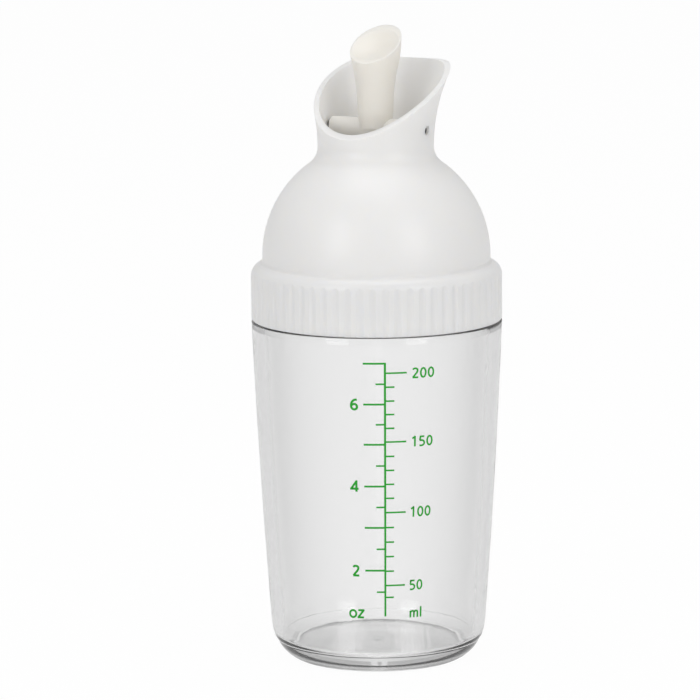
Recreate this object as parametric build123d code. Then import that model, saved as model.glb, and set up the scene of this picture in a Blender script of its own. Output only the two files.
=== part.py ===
from build123d import *

import os
from math import acos, asin, atan2, cos, degrees, sin, sqrt

# Salad dressing shaker bottle, in millimetres. The origin is the middle of the
# ring that the bottle stands on. +Z is up, +X points to the pouring lip, and
# the lever's hinge pin lies along Y.

# Main sizes of the bottle.
collar_radius = 33.85
shoulder_height = 92.2
base_wall = 3.4
top_wall = 3.8
wall_bow = 0.35
shoulder_corner_radius = 0.5
inner_shoulder_drop = 2.2
inner_shoulder_slope = 3.0

# Foot and base of the bottle.
foot_inset = 4.5
foot_width = 1.3
recess_depth = 1.2
floor_thickness = 3.4
floor_corner_radius = 2.6
base_edge_inset = 1.2
base_edge_height = 5.4
base_edge_step = 0.3
base_bow = 0.75
base_radius = 29.3
base_corner_height = 10.4
base_corner_bow = 0.2
gate_radius = 1.5
gate_height = 0.4

# Threaded mouth of the bottle.
mouth_rise = 11.8
mouth_wall = 1.45
mouth_edge_radius = 0.4

# Screw thread, shared by the bottle and the lid.
thread_pitch = 4.5
thread_depth = 1.0
thread_root_width = 2.0
thread_crest_width = 1.0
thread_root_sink = 0.3
thread_radial_play = 0.3
thread_flank_play = 0.3
thread_start_rise = 3.0
thread_start_turns = 0.1
bottle_thread_turns = 1.25
lid_thread_turns = 1.0
lid_thread_lead_turns = 0.33

# Collar of the lid.
collar_gap = 0.3
collar_rise = 15.3
collar_wall = 1.5
collar_edge_radius = 0.35
collar_shoulder_radius = 3.5
flute_count = 64
flute_radius = 2.4
flute_depth = 0.2

# Gasket, and the skirt that holds it in the lid.
gasket_thickness = 1.6
gasket_edge_radius = 0.3
gasket_play = 0.3
skirt_play = 0.4
skirt_wall = 1.2
skirt_reach = 2.6
ledge_thickness = 2.2

# Dome and trumpet-shaped spout of the lid.
dome_step = 3.1
dome_rise = 1.73
dome_foot_radius = 1.0
dome_wall = 2.0
waist_radius = 15.6
waist_fillet_radius = 5.5
spout_wall = 1.6
spout_flare_radius = 48.0
spout_inner_flare_radius = 46.5
low_rim_radius = 17.0
low_rim_rise = 2.05
rim_bow = 1.6
lip_start_radius = 13.5
lip_start_rise = 21.2
lip_radius = 21.5
lip_rise = 21.9

# Floor of the spout, with the pouring port and its raised seat.
spout_floor_drop = 2.4
spout_floor_thickness = 1.8
port_offset = 6.0
port_radius = 4.0
seat_width = 1.2
seat_rise = 0.9

# Hinge pin.
pin_rise = 5.0
pin_radius = 1.2
pin_play = 0.05
pin_end_recess = 0.8
pin_end_chamfer = 0.2

# Pour lever: stem, thumb dish, hub, web and flap.
hub_radius = 2.55
hub_end_play = 0.6
stem_root_radius = 4.3
stem_base_radius = 4.8
stem_base_rise = 3.8
stem_top_radius = 7.05
stem_bend_rise = 16.0
stem_top_rise = 25.0
dish_low_rise = 17.3
dish_high_rise = 27.0
dish_depth = 1.7
dish_edge_width = 0.5
flap_radius = 5.2
flap_thickness = 1.8
web_width = 7.0
web_half_depth = 2.0
web_play = 0.4

# Silicone stopper under the flap.
stopper_radius = 5.6
stopper_thickness = 1.6
plug_radius = 3.2
plug_tip_radius = 2.6
plug_reach = 0.8
stud_radius = 1.3
stud_head_radius = 2.0
stud_head_thickness = 1.0

# How far a cutting solid runs past what it cuts.
overrun = 5.0

# Heights and radii that follow from the sizes above.
base_edge_radius = base_radius - base_edge_inset
foot_radius = base_edge_radius - foot_inset
floor_height = recess_depth + floor_thickness
wall_top = shoulder_height - shoulder_corner_radius
collar_inner_radius = collar_radius - collar_wall
mouth_radius = collar_inner_radius - thread_radial_play - thread_depth
mouth_inner_radius = mouth_radius - mouth_wall
rim_height = shoulder_height + mouth_rise
ledge_height = rim_height + gasket_thickness
skirt_radius = mouth_inner_radius - skirt_play
collar_bottom = shoulder_height + collar_gap
collar_top = collar_bottom + collar_rise
dome_height = collar_top + dome_rise
dome_radius = collar_radius - dome_step
waist_reach = dome_radius + waist_fillet_radius
waist_centre_radius = waist_radius + waist_fillet_radius
waist_height = dome_height + sqrt(waist_reach**2 - waist_centre_radius**2)
spout_bore_radius = waist_radius - spout_wall
spout_floor_height = waist_height - spout_floor_drop
seat_height = spout_floor_height + seat_rise
stopper_top = seat_height + stopper_thickness
flap_top = stopper_top + flap_thickness
pin_height = waist_height + pin_rise
spout_top = waist_height + lip_rise + overrun


def turned(*edges):
    """Turn a closed half outline, given as radius and height, about the upright axis."""
    return revolve(Plane.XZ * make_face(Curve() + list(edges)), Axis.Z)


def slab(outline, width):
    """Give a closed outline in X and Z a width, centred on the XZ plane."""
    return extrude(Plane.XZ * make_face(outline), amount=width / 2, both=True)


def disc(radius, bottom, top):
    """A round plate about the upright axis, between two heights."""
    return Pos(0, 0, (bottom + top) / 2) * Cylinder(radius, top - bottom)


def hinge_rod(radius, half_length):
    """A rod along the hinge line, centred on the XZ plane."""
    return Pos(0, 0, pin_height) * Rot(90, 0, 0) * Cylinder(radius, 2 * half_length)


def thread_ridge(root_radius, inwards, start_height, start_turn, turns):
    """One screw ridge on a round wall, with a root that is sunk into the wall."""
    side = -1 if inwards else 1
    path = Rot(0, 0, start_turn * 360) * Helix(
        thread_pitch, turns * thread_pitch, root_radius, center=(0, 0, start_height)
    )
    start = path @ 0
    flank_slope = (thread_root_width - thread_crest_width) / thread_depth
    sunk_width = thread_root_width + flank_slope * thread_root_sink
    section = Polyline(
        (-side * thread_root_sink, -sunk_width / 2),
        (side * thread_depth, -thread_crest_width / 2),
        (side * thread_depth, thread_crest_width / 2),
        (-side * thread_root_sink, sunk_width / 2),
        close=True,
    )
    outwards = Vector(start.X, start.Y, 0)
    section_plane = Plane(start, x_dir=outwards, z_dir=path % 0)
    return sweep(section_plane * make_face(section), path=path, is_frenet=True)


def bottle_outside():
    """Foot ring, bowed base with an edge line, wall, flat shoulder and mouth, as a full solid."""
    foot_inner_radius = foot_radius - foot_width
    base_step_radius = base_edge_radius + base_edge_step
    shoulder_corner_start = collar_radius - shoulder_corner_radius
    mouth_edge_start = mouth_radius - mouth_edge_radius
    mouth_side_top = rim_height - mouth_edge_radius
    return turned(
        Polyline(
            (0, recess_depth),
            (foot_inner_radius, recess_depth),
            (foot_inner_radius, 0),
            (foot_radius, 0),
        ),
        SagittaArc((foot_radius, 0), (base_edge_radius, base_edge_height), -base_bow),
        Line((base_edge_radius, base_edge_height), (base_step_radius, base_edge_height)),
        SagittaArc(
            (base_step_radius, base_edge_height), (base_radius, base_corner_height), -base_corner_bow
        ),
        SagittaArc((base_radius, base_corner_height), (collar_radius, wall_top), -wall_bow),
        CenterArc((shoulder_corner_start, wall_top), shoulder_corner_radius, 0, 90),
        Polyline(
            (shoulder_corner_start, shoulder_height),
            (mouth_radius, shoulder_height),
            (mouth_radius, mouth_side_top),
        ),
        CenterArc((mouth_edge_start, mouth_side_top), mouth_edge_radius, 0, 90),
        Polyline((mouth_edge_start, rim_height), (0, rim_height), (0, recess_depth)),
    )


def bottle_inside():
    """The space that the bottle holds, run out past its mouth."""
    inner_base_radius = base_radius - base_wall
    inner_top_radius = collar_radius - top_wall
    inner_wall_top = shoulder_height - inner_shoulder_drop
    corner_start = inner_base_radius - floor_corner_radius
    corner_top = floor_height + floor_corner_radius
    return turned(
        Line((0, floor_height), (corner_start, floor_height)),
        CenterArc((corner_start, corner_top), floor_corner_radius, -90, 90),
        SagittaArc((inner_base_radius, corner_top), (inner_top_radius, inner_wall_top), -wall_bow),
        Polyline(
            (inner_top_radius, inner_wall_top),
            (mouth_inner_radius, inner_wall_top + inner_shoulder_slope),
            (mouth_inner_radius, rim_height + overrun),
            (0, rim_height + overrun),
            (0, floor_height),
        ),
    )


def make_bottle_body():
    """Clear bottle: thick wall, wide threaded mouth, foot ring and a small gate mark inside it."""
    start_height = shoulder_height + thread_start_rise
    thread = thread_ridge(
        mouth_radius, False, start_height, thread_start_turns, bottle_thread_turns
    )
    gate = disc(gate_radius, recess_depth - gate_height, recess_depth)
    return bottle_outside() - bottle_inside() + thread + gate


def make_lid_gasket():
    """Silicone ring between the bottle's rim and the lid's ledge."""
    inner_radius = skirt_radius + gasket_play
    outer_radius = collar_inner_radius - gasket_play
    outline = FilletPolyline(
        (inner_radius, rim_height),
        (outer_radius, rim_height),
        (outer_radius, ledge_height),
        (inner_radius, ledge_height),
        radius=gasket_edge_radius,
        close=True,
    )
    return turned(*outline.edges())


def flare_end(start_radius, bend_radius, height):
    """Radius of a spout surface at a height above the waist, where it bends outwards."""
    return start_radius + bend_radius - sqrt(bend_radius**2 - (height - waist_height) ** 2)


def flare_arc(start_radius, bend_radius):
    """Upright curve of a spout surface, from the waist to the top of the cutting solids."""
    turn = degrees(asin((spout_top - waist_height) / bend_radius))
    return CenterArc((start_radius + bend_radius, waist_height), bend_radius, 180, -turn)


def lid_outside():
    """Collar with a round shoulder, dome with a soft foot, waist and spout, as a full solid."""
    edge_start = collar_radius - collar_edge_radius
    side_bottom = collar_bottom + collar_edge_radius
    side_top = collar_top - collar_shoulder_radius
    shoulder_start = collar_radius - collar_shoulder_radius
    foot_centre_radius = dome_radius + dome_foot_radius
    foot_offset = foot_centre_radius - shoulder_start
    foot_reach = collar_shoulder_radius + dome_foot_radius
    foot_centre_height = side_top + sqrt(foot_reach**2 - foot_offset**2)
    foot_turn = degrees(acos(foot_offset / foot_reach))
    dome_turn = degrees(asin((waist_height - dome_height) / waist_reach))
    return turned(
        Line((0, collar_bottom), (edge_start, collar_bottom)),
        CenterArc((edge_start, side_bottom), collar_edge_radius, -90, 90),
        Line((collar_radius, side_bottom), (collar_radius, side_top)),
        CenterArc((shoulder_start, side_top), collar_shoulder_radius, 0, foot_turn),
        CenterArc(
            (foot_centre_radius, foot_centre_height), dome_foot_radius, 180 + foot_turn, -foot_turn
        ),
        Line((dome_radius, foot_centre_height), (dome_radius, dome_height)),
        CenterArc((0, dome_height), dome_radius, 0, dome_turn),
        CenterArc(
            (waist_centre_radius, waist_height), waist_fillet_radius, 180 + dome_turn, -dome_turn
        ),
        flare_arc(waist_radius, spout_flare_radius),
        Polyline(
            (flare_end(waist_radius, spout_flare_radius, spout_top), spout_top),
            (0, spout_top),
            (0, collar_bottom),
        ),
    )


def dome_hollow():
    """The space under the dome, from inside the skirt up to the spout's floor."""
    inner_radius = dome_radius - dome_wall
    skirt_inner_radius = skirt_radius - skirt_wall
    ledge_top = ledge_height + ledge_thickness
    ceiling = spout_floor_height - spout_floor_thickness
    start_turn = degrees(asin((ledge_top - dome_height) / inner_radius))
    end_turn = degrees(asin((ceiling - dome_height) / inner_radius))
    wall = CenterArc((0, dome_height), inner_radius, start_turn, end_turn - start_turn)
    below = collar_bottom - overrun
    return turned(
        Polyline((0, below), (skirt_inner_radius, below), (skirt_inner_radius, ledge_top), wall @ 0),
        wall,
        Polyline(wall @ 1, (0, ceiling), (0, below)),
    )


def spout_bore():
    """The space inside the spout above its floor."""
    return turned(
        Polyline(
            (0, spout_floor_height),
            (spout_bore_radius, spout_floor_height),
            (spout_bore_radius, waist_height),
        ),
        flare_arc(spout_bore_radius, spout_inner_flare_radius),
        Polyline(
            (flare_end(spout_bore_radius, spout_inner_flare_radius, spout_top), spout_top),
            (0, spout_top),
            (0, spout_floor_height),
        ),
    )


def rim_cutter():
    """Everything above the rim of the spout, which slants up and levels off at the lip."""
    low_height = waist_height + low_rim_rise
    lip_height = waist_height + lip_rise
    lip_start = (lip_start_radius, waist_height + lip_start_rise)
    front = lip_radius + overrun
    above = spout_top + overrun
    rim = SagittaArc((-low_rim_radius, low_height), lip_start, rim_bow)
    lip = TangentArc(lip_start, (lip_radius, lip_height), tangent=rim % 1)
    around = Polyline(
        (lip_radius, lip_height),
        (front, lip_height),
        (front, above),
        (-front, above),
        (-front, low_height),
        (-low_rim_radius, low_height),
    )
    return slab(Curve() + [rim, lip, around], 2 * front)


def collar_flutes():
    """Shallow upright flutes round the collar, which run out into its round shoulder."""
    centre_radius = collar_radius + flute_radius - flute_depth
    flute = Pos(centre_radius, 0, 0) * disc(flute_radius, collar_bottom - overrun, collar_top)
    return [Rot(0, 0, index * 360 / flute_count) * flute for index in range(flute_count)]


def lid_thread():
    """Inside thread of the collar. It lies just under the bottle's ridge when closed."""
    engaged_share = (thread_depth - thread_radial_play) / thread_depth
    taper = thread_root_width - thread_crest_width
    flank_distance = thread_crest_width + taper * engaged_share / 2
    drop = flank_distance + thread_flank_play
    lead = lid_thread_lead_turns * thread_pitch
    start_height = shoulder_height + thread_start_rise + lead - drop
    start_turns = thread_start_turns + lid_thread_lead_turns
    return thread_ridge(collar_inner_radius, True, start_height, start_turns, lid_thread_turns)


def make_lid_shell():
    """Lid in one moulding: fluted collar, dome, and spout with a floor, port and pin holes."""
    skirt = disc(skirt_radius, ledge_height - skirt_reach, ledge_height)
    seat = Pos(port_offset, 0, 0) * disc(port_radius + seat_width, spout_floor_height, seat_height)
    port = Pos(port_offset, 0, 0) * disc(
        port_radius, spout_floor_height - spout_floor_thickness - overrun, seat_height + overrun
    )
    shell = lid_outside() - disc(collar_inner_radius, collar_bottom - overrun, ledge_height)
    shell += skirt
    shell -= dome_hollow()
    shell -= spout_bore()
    shell += seat
    shell -= port
    shell -= rim_cutter()
    shell -= hinge_rod(pin_radius, waist_radius + overrun)
    shell -= collar_flutes()
    return shell + lid_thread()


def make_hinge_pin():
    """Steel pin, pressed into both sides of the spout with its ends just below the surface."""
    side_radius = flare_end(waist_radius, spout_flare_radius, pin_height)
    pin = hinge_rod(pin_radius, side_radius - pin_end_recess)
    return chamfer(pin.edges().filter_by(GeomType.CIRCLE), pin_end_chamfer)


def lever_stem():
    """Upright stem that swells towards its slanted thumb dish."""
    base_height = pin_height + stem_base_rise
    bend_height = pin_height + stem_bend_rise
    top_height = pin_height + stem_top_rise
    above = pin_height + dish_high_rise + overrun
    stem = turned(
        Polyline((0, pin_height), (stem_root_radius, pin_height), (stem_base_radius, base_height)),
        Bezier(
            (stem_base_radius, base_height),
            (stem_base_radius, bend_height),
            (stem_top_radius, bend_height),
            (stem_top_radius, top_height),
        ),
        Polyline((stem_top_radius, top_height), (stem_top_radius, above), (0, above), (0, pin_height)),
    )
    return stem - dish_cutters()


def dish_cutters():
    """A wedge that slants the stem's top, and a ball that hollows the dish into it."""
    low_height = pin_height + dish_low_rise
    high_height = pin_height + dish_high_rise
    slope = (high_height - low_height) / (2 * stem_top_radius)
    reach = stem_top_radius + overrun
    above = high_height + 2 * overrun
    wedge = Polyline(
        (-reach, low_height - slope * overrun),
        (reach, high_height + slope * overrun),
        (reach, above),
        (-reach, above),
        close=True,
    )
    tilt = atan2(high_height - low_height, 2 * stem_top_radius)
    hollow_radius = stem_top_radius - dish_edge_width
    ball_radius = (hollow_radius**2 + dish_depth**2) / (2 * dish_depth)
    ball_lift = ball_radius - dish_depth
    ball_centre = Pos(
        -ball_lift * sin(tilt), 0, (low_height + high_height) / 2 + ball_lift * cos(tilt)
    )
    ball = ball_centre * Rot(0, -degrees(tilt), 0) * Sphere(ball_radius)
    return [slab(wedge, 2 * reach), ball]


def make_pour_lever():
    """Lever in one moulding: stem with dish, hub on the pin, web and round flap."""
    hub_half_length = sqrt((spout_bore_radius - hub_end_play) ** 2 - hub_radius**2)
    web_front = port_offset - stud_head_radius - web_play
    web = Polyline(
        (-web_half_depth, pin_height),
        (web_half_depth, pin_height),
        (web_front, flap_top),
        (web_front, stopper_top),
        (port_offset - flap_radius, stopper_top),
        close=True,
    )
    flap = Pos(port_offset, 0, 0) * disc(flap_radius, stopper_top, flap_top)
    stud_hole = Pos(port_offset, 0, 0) * disc(stud_radius, stopper_top, flap_top)
    lever = lever_stem() + hinge_rod(hub_radius, hub_half_length) + slab(web, web_width) + flap
    return lever - stud_hole - hinge_rod(pin_radius + pin_play, hub_half_length + overrun)


def make_stopper_seal():
    """Silicone stopper with a shallow plug, held in the flap by a headed stud."""
    outline = Polyline(
        (0, seat_height - plug_reach),
        (plug_tip_radius, seat_height - plug_reach),
        (plug_radius, seat_height),
        (stopper_radius, seat_height),
        (stopper_radius, stopper_top),
        (stud_radius, stopper_top),
        (stud_radius, flap_top),
        (stud_head_radius, flap_top),
        (stud_head_radius, flap_top + stud_head_thickness),
        (0, flap_top + stud_head_thickness),
        close=True,
    )
    return Pos(port_offset, 0, 0) * turned(*outline.edges())


pieces = {
    "bottle_body": make_bottle_body(),
    "lid_gasket": make_lid_gasket(),
    "lid_shell": make_lid_shell(),
    "hinge_pin": make_hinge_pin(),
    "pour_lever": make_pour_lever(),
    "stopper_seal": make_stopper_seal(),
}

os.makedirs("parts", exist_ok=True)
for name, piece in pieces.items():
    export_step(piece, f"parts/{name}.step")
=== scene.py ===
from math import cos, pi, radians, sin, tan

import bmesh
import bpy
from mathutils import Matrix, Vector
from mathutils.bvhtree import BVHTree


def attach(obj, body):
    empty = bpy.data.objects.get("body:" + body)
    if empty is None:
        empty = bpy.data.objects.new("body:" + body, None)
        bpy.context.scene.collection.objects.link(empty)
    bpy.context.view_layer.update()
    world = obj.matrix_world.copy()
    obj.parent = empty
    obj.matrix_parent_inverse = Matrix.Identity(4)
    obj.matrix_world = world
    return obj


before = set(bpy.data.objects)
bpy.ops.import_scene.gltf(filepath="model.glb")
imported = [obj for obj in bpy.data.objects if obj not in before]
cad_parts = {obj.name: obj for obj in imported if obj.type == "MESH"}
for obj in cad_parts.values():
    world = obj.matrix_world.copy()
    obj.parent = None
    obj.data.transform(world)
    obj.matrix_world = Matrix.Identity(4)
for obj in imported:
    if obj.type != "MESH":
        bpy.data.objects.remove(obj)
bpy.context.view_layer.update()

# Camera
# The photograph looks down on the bottle a little, from the side of the low rim.
# Angles are in the XY plane from +X. The bottle stands a little right of the middle.
mm = 0.001
camera_angle = radians(-150)
camera_distance = 1050 * mm
camera_height = 263.8 * mm
camera_pitch = radians(9.74)
camera_roll = radians(-0.41)
camera_side_aim = 7.3 * mm
camera_lens = 202.5
camera_sensor_width = 36
camera_clip = (0.05, 20)
towards_camera = Vector((cos(camera_angle), sin(camera_angle), 0))
camera_right = Vector((-sin(camera_angle), cos(camera_angle), 0))

scene = bpy.context.scene
scene.view_settings.view_transform = "Standard"
camera_data = bpy.data.cameras.new("camera")
camera_data.lens = camera_lens
camera_data.sensor_width = camera_sensor_width
camera_data.clip_start, camera_data.clip_end = camera_clip
camera = bpy.data.objects.new("camera", camera_data)
scene.collection.objects.link(camera)
scene.camera = camera
camera.location = towards_camera * camera_distance + Vector((0, 0, camera_height))
aim = camera_right * -camera_side_aim
aim.z = camera_height - camera_distance * tan(camera_pitch)
look = (aim - camera.location).to_track_quat("-Z", "Y").to_matrix().to_4x4()
camera.matrix_world = (
    Matrix.Translation(camera.location) @ look @ Matrix.Rotation(camera_roll, 4, "Z")
)

# Room
# Soft grey room that the camera sees as plain white. A white sheet stands behind the
# bottle and ends at its sides, so the clear walls darken there. Plastic mirrors the sheet
# as two tall windows.
room_grey = 0.5
sheet_fade = radians(1)
sheet_end = radians(16)
side_tone = 0.78
window_side = radians(2)
# Sines of the angle from a window's middle.
window_half_width = 0.018
window_fade_end = 0.0252
window_wall_share = 0.3


def shader(tree, kind, **inputs):
    """Add a node and set its inputs by name, with spaces written as underscores."""
    made = tree.nodes.new(kind)
    for name, value in inputs.items():
        made.inputs[name.replace("_", " ")].default_value = value
    return made


def maths(tree, operation, *values):
    """Add a maths node whose inputs are numbers or the outputs of other nodes."""
    made = shader(tree, "ShaderNodeMath")
    made.operation = operation
    for index, value in enumerate(values):
        if isinstance(value, bpy.types.NodeSocket):
            tree.links.new(value, made.inputs[index])
        else:
            made.inputs[index].default_value = value
    return made.outputs[0]


def backdrop(tree, coordinates, middle, windows):
    """The share of the white sheet that a ray shows, and how white the sheet is there.

    A ray from the camera shows plain white. One through the clear plastic shows the sheet
    by its direction from a middle point. One mirrored in plastic shows the sheet too, or
    two windows of it."""
    path = shader(tree, "ShaderNodeLightPath").outputs
    where = shader(tree, "ShaderNodeTexCoord").outputs[coordinates]
    for operation, vector, result in (
        ("SUBTRACT", middle, "Vector"), ("MULTIPLY", (1, 1, 0), "Vector"),
        ("NORMALIZE", (0, 0, 0), "Vector"), ("DOT_PRODUCT", camera_right, "Value"),
    ):
        step = shader(tree, "ShaderNodeVectorMath")
        step.operation = operation
        step.inputs[1].default_value = vector
        tree.links.new(where, step.inputs[0])
        where = step.outputs[result]
    aside = maths(tree, "ABSOLUTE", where)
    tone = shader(
        tree, "ShaderNodeMapRange", From_Min=sin(sheet_fade), From_Max=sin(sheet_end),
        To_Min=1.0, To_Max=side_tone,
    )
    tone.interpolation_type = "SMOOTHSTEP"
    tree.links.new(aside, tone.inputs["Value"])
    white = maths(tree, "MAXIMUM", path["Is Camera Ray"], tone.outputs["Result"])
    shown = maths(tree, "MAXIMUM", path["Is Transmission Ray"], path["Is Glossy Ray"])
    if windows:
        off_window = maths(tree, "ABSOLUTE", maths(tree, "SUBTRACT", aside, sin(window_side)))
        wall = shader(
            tree, "ShaderNodeMapRange", From_Min=window_half_width, From_Max=window_fade_end,
            To_Min=1.0, To_Max=window_wall_share,
        )
        tree.links.new(off_window, wall.inputs["Value"])
        mirrored = shader(tree, "ShaderNodeMapRange", To_Min=1.0)
        tree.links.new(path["Glossy Depth"], mirrored.inputs["Value"])
        tree.links.new(wall.outputs["Result"], mirrored.inputs["To Max"])
        shown = maths(tree, "MULTIPLY", shown, mirrored.outputs["Result"])
    share = maths(tree, "MAXIMUM", path["Is Camera Ray"], shown)
    return share, white


world = bpy.data.worlds.new("studio")
scene.world = world
world.use_nodes = True
tree = world.node_tree
tree.nodes.clear()
output = shader(tree, "ShaderNodeOutputWorld")
share, white = backdrop(tree, "Generated", (0, 0, 0), windows=True)
room = shader(tree, "ShaderNodeBackground", Color=(room_grey, room_grey, room_grey, 1))
sheet = shader(tree, "ShaderNodeBackground", Color=(1, 1, 1, 1))
seen = shader(tree, "ShaderNodeMixShader")
tree.links.new(white, sheet.inputs["Strength"])
tree.links.new(share, seen.inputs[0])
tree.links.new(room.outputs[0], seen.inputs[1])
tree.links.new(sheet.outputs[0], seen.inputs[2])
tree.links.new(seen.outputs[0], output.inputs["Surface"])

# Soft boxes
# Two tall ones stand left and right of the camera, and a square one hangs over the bottle.
# All of them face the bottle's middle. Sizes are in metres and powers in watts.
front_light_side = radians(40)
front_light_rise = radians(25)
front_light_distance = 1.1
front_light_width = 0.4
front_light_height = 0.62
front_light_power = 2.05
top_light_height = 1.3
top_light_size = 1.0
top_light_power = 4.4
light_aim = Vector((0, 0, 100 * mm))


def soft_box(name, place, width, height, power):
    """A rectangular area light that faces the bottle."""
    data = bpy.data.lights.new(name, "AREA")
    data.shape = "RECTANGLE"
    data.size = width
    data.size_y = height
    data.energy = power
    light = bpy.data.objects.new(name, data)
    scene.collection.objects.link(light)
    light.location = place
    light.rotation_mode = "QUATERNION"
    light.rotation_quaternion = (light_aim - place).to_track_quat("-Z", "Y")


for name, side in (("left_box", -1), ("right_box", 1)):
    angle = camera_angle + side * front_light_side
    flat = Vector((cos(angle), sin(angle), 0)) * cos(front_light_rise)
    place = (flat + Vector((0, 0, sin(front_light_rise)))) * front_light_distance
    soft_box(name, place, front_light_width, front_light_height, front_light_power)
soft_box(
    "top_box", Vector((0, 0, top_light_height)), top_light_size, top_light_size, top_light_power
)

# Floor
# White paper that runs on to the sheet behind the bottle. A small share of it is lit by
# the soft boxes alone, and that share keeps the bottle's shadow. The sheet's sides are
# taken from a point in front of the bottle.
floor_half_size = 3.0
paper_white = 0.95
backdrop_share = 0.97
sheet_middle = towards_camera * 0.1

corners = [
    (x * floor_half_size, y * floor_half_size, 0) for x, y in ((-1, -1), (1, -1), (1, 1), (-1, 1))
]
floor_mesh = bpy.data.meshes.new("floor")
floor_mesh.from_pydata(corners, [], [(0, 1, 2, 3)])
floor = bpy.data.objects.new("floor", floor_mesh)
scene.collection.objects.link(floor)
floor_material = bpy.data.materials.new("floor_paper")
floor_material.use_nodes = True
tree = floor_material.node_tree
tree.nodes.clear()
output = shader(tree, "ShaderNodeOutputMaterial")
share, white = backdrop(tree, "Object", sheet_middle, windows=False)
paper = shader(tree, "ShaderNodeBsdfDiffuse", Color=(paper_white, paper_white, paper_white, 1))
lit = shader(tree, "ShaderNodeEmission", Color=(1, 1, 1, 1))
mixed = shader(tree, "ShaderNodeMixShader")
tree.links.new(white, lit.inputs["Strength"])
tree.links.new(maths(tree, "MULTIPLY", share, backdrop_share), mixed.inputs[0])
tree.links.new(paper.outputs[0], mixed.inputs[1])
tree.links.new(lit.outputs[0], mixed.inputs[2])
tree.links.new(mixed.outputs[0], output.inputs["Surface"])
floor_mesh.materials.append(floor_material)

# Bottle
# Clear, thick-walled plastic bottle, injection moulded in one piece through a gate in the
# middle of its base. Its walls are polished. Its underside and the shoulder under the
# collar are matte.
matte_base_top = 1.3 * mm
matte_shoulder_bottom = 91.7 * mm
matte_shoulder_radius = 30.8 * mm
matte_roughness = 0.2
gloss_spread = 0.2


def moulded(name, color, roughness, grain_size, grain_depth, wave_size, wave_depth):
    """A moulded finish, sizes in metres: fine grain in its gloss, and slow waves in its form."""
    material = bpy.data.materials.new(name)
    material.use_nodes = True
    tree = material.node_tree
    surface = tree.nodes["Principled BSDF"]
    surface.inputs["Base Color"].default_value = (*color, 1)
    where = shader(tree, "ShaderNodeTexCoord")
    grain = shader(tree, "ShaderNodeTexNoise", Scale=1 / grain_size, Detail=3.0, Roughness=0.6)
    waves = shader(tree, "ShaderNodeTexNoise", Scale=1 / wave_size, Detail=1.0)
    grain_bump = shader(tree, "ShaderNodeBump", Strength=1.0, Distance=grain_depth)
    wave_bump = shader(tree, "ShaderNodeBump", Strength=1.0, Distance=wave_depth)
    gloss = shader(
        tree, "ShaderNodeMapRange", To_Min=roughness * (1 - gloss_spread),
        To_Max=roughness * (1 + gloss_spread),
    )
    for texture in (grain, waves):
        tree.links.new(where.outputs["Object"], texture.inputs["Vector"])
    tree.links.new(waves.outputs["Fac"], wave_bump.inputs["Height"])
    tree.links.new(grain.outputs["Fac"], grain_bump.inputs["Height"])
    tree.links.new(wave_bump.outputs["Normal"], grain_bump.inputs["Normal"])
    tree.links.new(grain_bump.outputs["Normal"], surface.inputs["Normal"])
    tree.links.new(waves.outputs["Fac"], gloss.inputs["Value"])
    tree.links.new(gloss.outputs["Result"], surface.inputs["Roughness"])
    return material, surface


def dress(node, material):
    """Give a CAD node one material."""
    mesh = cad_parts[node].data
    mesh.materials.clear()
    mesh.materials.append(material)


clear_plastic, surface = moulded(
    "clear_plastic", (0.955, 0.955, 0.955), roughness=0.03,
    grain_size=2 * mm, grain_depth=0.004 * mm, wave_size=18 * mm, wave_depth=0.05 * mm,
)
surface.inputs["Transmission Weight"].default_value = 0.985
surface.inputs["IOR"].default_value = 1.49
tree = clear_plastic.node_tree
position = shader(tree, "ShaderNodeSeparateXYZ")
tree.links.new(shader(tree, "ShaderNodeTexCoord").outputs["Object"], position.inputs[0])
x, y, z = position.outputs
radius = maths(tree, "SQRT", maths(tree, "MULTIPLY_ADD", x, x, maths(tree, "MULTIPLY", y, y)))
on_base = maths(tree, "LESS_THAN", z, matte_base_top)
on_shoulder = maths(
    tree, "MULTIPLY", maths(tree, "GREATER_THAN", z, matte_shoulder_bottom),
    maths(tree, "GREATER_THAN", radius, matte_shoulder_radius),
)
finish = shader(tree, "ShaderNodeMix", B=matte_roughness)
tree.links.new(maths(tree, "MAXIMUM", on_base, on_shoulder), finish.inputs["Factor"])
tree.links.new(surface.inputs["Roughness"].links[0].from_socket, finish.inputs["A"])
tree.links.new(finish.outputs["Result"], surface.inputs["Roughness"])
depth_tint = shader(
    tree, "ShaderNodeVolumeAbsorption", Color=(0.91, 0.91, 0.91, 1), Density=55.0
)
tree.links.new(depth_tint.outputs[0], tree.nodes["Material Output"].inputs["Volume"])
dress("bottle_body", clear_plastic)

# Printed scale
# Green ink, screen printed on the outside of the bottle: one upright line with ounce marks
# on its left, millilitre marks on its right, plain numbers and the two units.
scale_angle = radians(-146.5)
ink_lift = 0.04 * mm
# Sizes in mm, across the wall as arc lengths from the line, and up from the table.
wall_radius = 32.0
line_bottom, line_top, line_width = 16.7, 85.9, 0.55
long_reach, short_reach = 5.55, 2.4
long_width, short_width = 0.52, 0.46
line_steps, mark_steps = (2, 60), (8, 1)
curve_steps, ring_steps = 6, 36
ounce_long_heights = (85.64, 74.66, 63.8, 52.45, 41.15, 29.39)
ounce_short_heights = (80.12, 69.21, 58.03, 46.75, 35.28, 23.45)
millilitre_long_heights = (83.05, 64.5, 45.3, 25.25)
millilitre_short_heights = (
    79.3, 75.55, 71.92, 68.2, 60.6, 56.8, 53.0, 49.2, 41.2, 37.2, 33.22, 29.2, 21.97,
)
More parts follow.
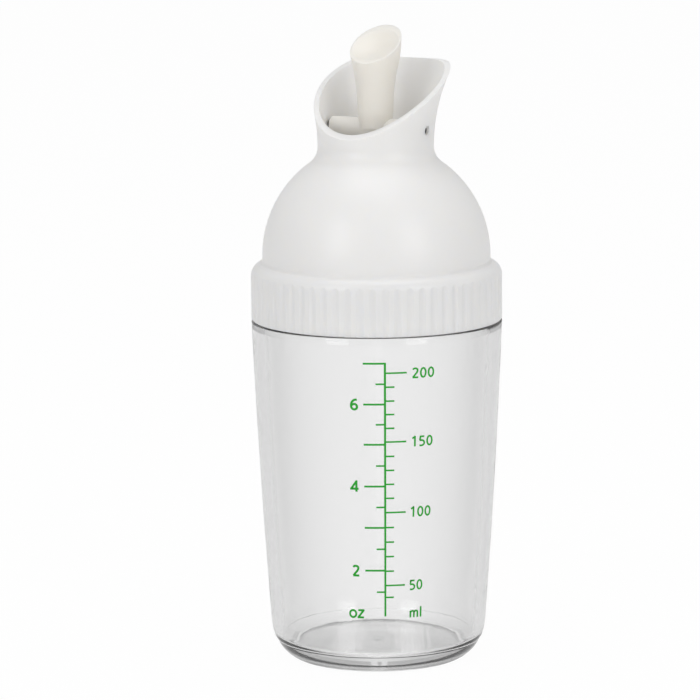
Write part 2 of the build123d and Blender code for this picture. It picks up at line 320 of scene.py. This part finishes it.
# Height, width as a share of the plain letter, and stroke of each kind of label.
ounce_digits = (3.05, 1.2, 0.6)
millilitre_digits = (2.8, 1.14, 0.49)
ounce_unit = (3.6, 1.05, 0.56)
millilitre_unit = (2.9, 1.3, 0.52)
labels = (
    ("6", -7.9, 74.65, ounce_digits), ("4", -8.1, 52.5, ounce_digits),
    ("2", -8.15, 29.3, ounce_digits), ("200", 9.9, 82.85, millilitre_digits),
    ("150", 9.8, 64.4, millilitre_digits), ("100", 9.65, 45.25, millilitre_digits),
    ("50", 8.75, 25.1, millilitre_digits), ("oz", -8.2, 18.0, ounce_unit),
    ("ml", 8.85, 17.55, millilitre_unit),
)
round_shape, straight_shape, ring_shape = "round", "straight", "ring"
# Straight runs of one stroke overlap at a corner by this share of the stroke's width.
corner_overlap = 0.4
# Each letter: the share of its height that it takes across, then its strokes, with
# points as shares of its height. A ring is a middle and two radii.
letter_shares = {
    "0": (0.66, [(ring_shape, [(0.33, 0.5), (0.21, 0.43)])]),
    "1": (0.66, [(straight_shape, [(0.16, 0.78), (0.38, 0.95), (0.38, 0.0)])]),
    "2": (0.66, [
        (round_shape, [(0.12, 0.82), (0.2, 0.91), (0.33, 0.94), (0.47, 0.87), (0.51, 0.72),
                       (0.45, 0.54), (0.3, 0.32), (0.12, 0.07)]),
        (straight_shape, [(0.1, 0.07), (0.57, 0.07)]),
    ]),
    "4": (0.66, [(straight_shape, [(0.46, 0.0), (0.46, 0.93), (0.07, 0.27), (0.62, 0.27)])]),
    "5": (0.66, [
        (straight_shape, [(0.53, 0.93), (0.19, 0.93), (0.15, 0.53)]),
        (round_shape, [(0.15, 0.53), (0.3, 0.57), (0.46, 0.5), (0.53, 0.31), (0.46, 0.13),
                       (0.3, 0.06), (0.11, 0.09)]),
    ]),
    "6": (0.66, [
        (round_shape, [(0.53, 0.92), (0.35, 0.9), (0.19, 0.73), (0.12, 0.45), (0.17, 0.17),
                       (0.32, 0.06), (0.48, 0.12), (0.54, 0.29), (0.48, 0.47), (0.34, 0.54),
                       (0.19, 0.46), (0.13, 0.36)]),
    ]),
    "o": (0.66, [(ring_shape, [(0.33, 0.33), (0.24, 0.27)])]),
    "z": (0.56, [(straight_shape, [(0.07, 0.61), (0.48, 0.61), (0.07, 0.06), (0.5, 0.06)])]),
    "m": (0.8, [
        (straight_shape, [(0.1, 0.66), (0.1, 0.0)]),
        (round_shape, [(0.1, 0.46), (0.17, 0.58), (0.28, 0.62), (0.37, 0.54), (0.38, 0.4),
                       (0.38, 0.0)]),
        (round_shape, [(0.38, 0.46), (0.45, 0.58), (0.56, 0.62), (0.65, 0.54), (0.66, 0.4),
                       (0.66, 0.0)]),
    ]),
    "l": (0.24, [(straight_shape, [(0.12, 1.0), (0.12, 0.0)])]),
}

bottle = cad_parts["bottle_body"].data
bottle_surface = BVHTree.FromPolygons(
    [vertex.co for vertex in bottle.vertices], [face.vertices for face in bottle.polygons]
)
outside_bottle = 100 * mm


def on_bottle(across, height):
    """The point just off the bottle's wall, at an arc length from the line and a height."""
    angle = scale_angle + across / wall_radius
    outwards = Vector((cos(angle), sin(angle), 0))
    start = outwards * outside_bottle + Vector((0, 0, height * mm))
    hit = bottle_surface.ray_cast(start, -outwards)[0]
    return hit + outwards * ink_lift


def add_bar(mesh, left, right, bottom, top, steps):
    """One printed bar, split across and up so that it follows the wall."""
    across_steps, up_steps = steps
    rows = [
        [
            mesh.verts.new(on_bottle(
                left + (right - left) * i / across_steps, bottom + (top - bottom) * j / up_steps
            ))
            for i in range(across_steps + 1)
        ]
        for j in range(up_steps + 1)
    ]
    for low, high in zip(rows, rows[1:]):
        for i in range(across_steps):
            mesh.faces.new((low[i], low[i + 1], high[i + 1], high[i]))


def smooth_line(points):
    """Points along a smooth curve through the given ones."""
    padded = [points[0]] + list(points) + [points[-1]]
    line = []
    for a, b, c, d in zip(padded, padded[1:], padded[2:], padded[3:]):
        for i in range(curve_steps):
            t = i / curve_steps
            line.append(tuple(
                0.5 * (2 * q + (r - p) * t + (2 * p - 5 * q + 4 * r - s) * t**2
                       + (3 * q - p - 3 * r + s) * t**3)
                for p, q, r, s in zip(a, b, c, d)
            ))
    return line + [points[-1]]


def add_ribbon(mesh, line, width):
    """A printed stroke of one width along a line of points, in arc length and height."""
    edges = []
    for index, point in enumerate(line):
        before = Vector(line[max(index - 1, 0)])
        after = Vector(line[min(index + 1, len(line) - 1)])
        along = (after - before).normalized()
        across = Vector((-along.y, along.x)) * width / 2
        edges.append([
            mesh.verts.new(on_bottle(*(Vector(point) + side * across))) for side in (-1, 1)
        ])
    for first, second in zip(edges, edges[1:]):
        mesh.faces.new((first[0], second[0], second[1], first[1]))


def add_stroke(mesh, shape, points, width):
    """One stroke of a letter: a ring, a smooth curve, or straight runs that meet at corners."""
    if shape == ring_shape:
        (x, y), (wide, tall) = points
        turns = [2 * pi * i / ring_steps for i in range(ring_steps + 1)]
        add_ribbon(mesh, [(x + wide * cos(turn), y + tall * sin(turn)) for turn in turns], width)
    elif shape == round_shape:
        add_ribbon(mesh, smooth_line(points), width)
    else:
        for index, (start, end) in enumerate(zip(points, points[1:])):
            along = (Vector(end) - Vector(start)).normalized() * width * corner_overlap
            first = Vector(start) - along * (index > 0)
            last = Vector(end) + along * (index < len(points) - 2)
            add_ribbon(mesh, [first, (first + last) / 2, last], width)


def add_label(mesh, text, across, height, letter_height, wideness, stroke):
    """A short printed word or number, with its middle at an arc length and a height."""
    unit = letter_height * wideness
    left = across - sum(letter_shares[letter][0] for letter in text) * unit / 2
    bottom = height - letter_height / 2
    for letter in text:
        advance, strokes = letter_shares[letter]
        for shape, points in strokes:
            placed = [(left + x * unit, bottom + y * letter_height) for x, y in points]
            if shape == ring_shape:
                wide, tall = points[1]
                placed[1] = (wide * unit, tall * letter_height)
            add_stroke(mesh, shape, placed, stroke)
        left += advance * unit


marks = bmesh.new()
add_bar(marks, -line_width / 2, line_width / 2, line_bottom, line_top, line_steps)
for heights, side, reach, width in (
    (ounce_long_heights, -1, long_reach, long_width),
    (ounce_short_heights, -1, short_reach, short_width),
    (millilitre_long_heights, 1, long_reach, short_width),
    (millilitre_short_heights, 1, short_reach, short_width),
):
    for height in heights:
        ends = sorted((side * line_width / 2, side * reach))
        add_bar(marks, *ends, height - width / 2, height + width / 2, mark_steps)
for text, across, height, kind in labels:
    add_label(marks, text, across, height, *kind)
print_mesh = bpy.data.meshes.new("printed_scale")
marks.to_mesh(print_mesh)
marks.free()
printed_scale = bpy.data.objects.new("printed_scale", print_mesh)
scene.collection.objects.link(printed_scale)
ink, surface = moulded(
    "green_ink", (0.002, 0.35, 0.01), roughness=0.45,
    grain_size=0.3 * mm, grain_depth=0.003 * mm, wave_size=3 * mm, wave_depth=0.002 * mm,
)
print_mesh.materials.append(ink)
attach(printed_scale, "bottle")

# Gasket and stopper
# Milky silicone, moulded and matte. The gasket is pushed up over the lid's skirt, and the
# stopper is snapped into the lever's flap by its stud.
# How deep red, green and blue light sink in, as shares of the depth.
sink_shares = (1.0, 0.95, 0.85)


def see_into(surface, share, depth):
    """Let light sink into a pale plastic, by a share and a depth in metres."""
    surface.inputs["Subsurface Weight"].default_value = share
    surface.inputs["Subsurface Radius"].default_value = sink_shares
    surface.inputs["Subsurface Scale"].default_value = depth


silicone, surface = moulded(
    "silicone", (0.78, 0.79, 0.78), roughness=0.55,
    grain_size=0.4 * mm, grain_depth=0.006 * mm, wave_size=6 * mm, wave_depth=0.01 * mm,
)
see_into(surface, share=0.4, depth=1.5 * mm)
dress("lid_gasket", silicone)
dress("stopper_seal", silicone)

# Lid
# White plastic lid, collar, dome and spout in one moulding, with fine upright flutes round
# its collar. Its walls are thin enough for some light to come through. It screws on.
white_plastic, surface = moulded(
    "white_plastic", (0.88, 0.87, 0.855), roughness=0.32,
    grain_size=0.5 * mm, grain_depth=0.004 * mm, wave_size=14 * mm, wave_depth=0.03 * mm,
)
see_into(surface, share=0.7, depth=3 * mm)
dress("lid_shell", white_plastic)

# Lever
# Pour lever of a warmer, milky plastic, in one moulding with a satin finish. Its hub turns
# on the hinge pin between the spout's walls.
lever_plastic, surface = moulded(
    "lever_plastic", (0.88, 0.85, 0.79), roughness=0.36,
    grain_size=0.5 * mm, grain_depth=0.004 * mm, wave_size=9 * mm, wave_depth=0.02 * mm,
)
see_into(surface, share=0.5, depth=3 * mm)
dress("pour_lever", lever_plastic)

# Hinge pin
# Steel pin, cut from rod and pressed into the spout from the side. Only its two cut
# ends show, just below the spout's surface. Its colour is near black: the steel's own
# tone darkened as painted shade for the recess round its ends.
# Near-black colour: painted shade for the pin's recessed ends, over the steel's own tone.
steel, surface = moulded(
    "steel", (0.09, 0.09, 0.095), roughness=0.35,
    grain_size=0.15 * mm, grain_depth=0.004 * mm, wave_size=1 * mm, wave_depth=0.004 * mm,
)
surface.inputs["Metallic"].default_value = 1.0
dress("hinge_pin", steel)
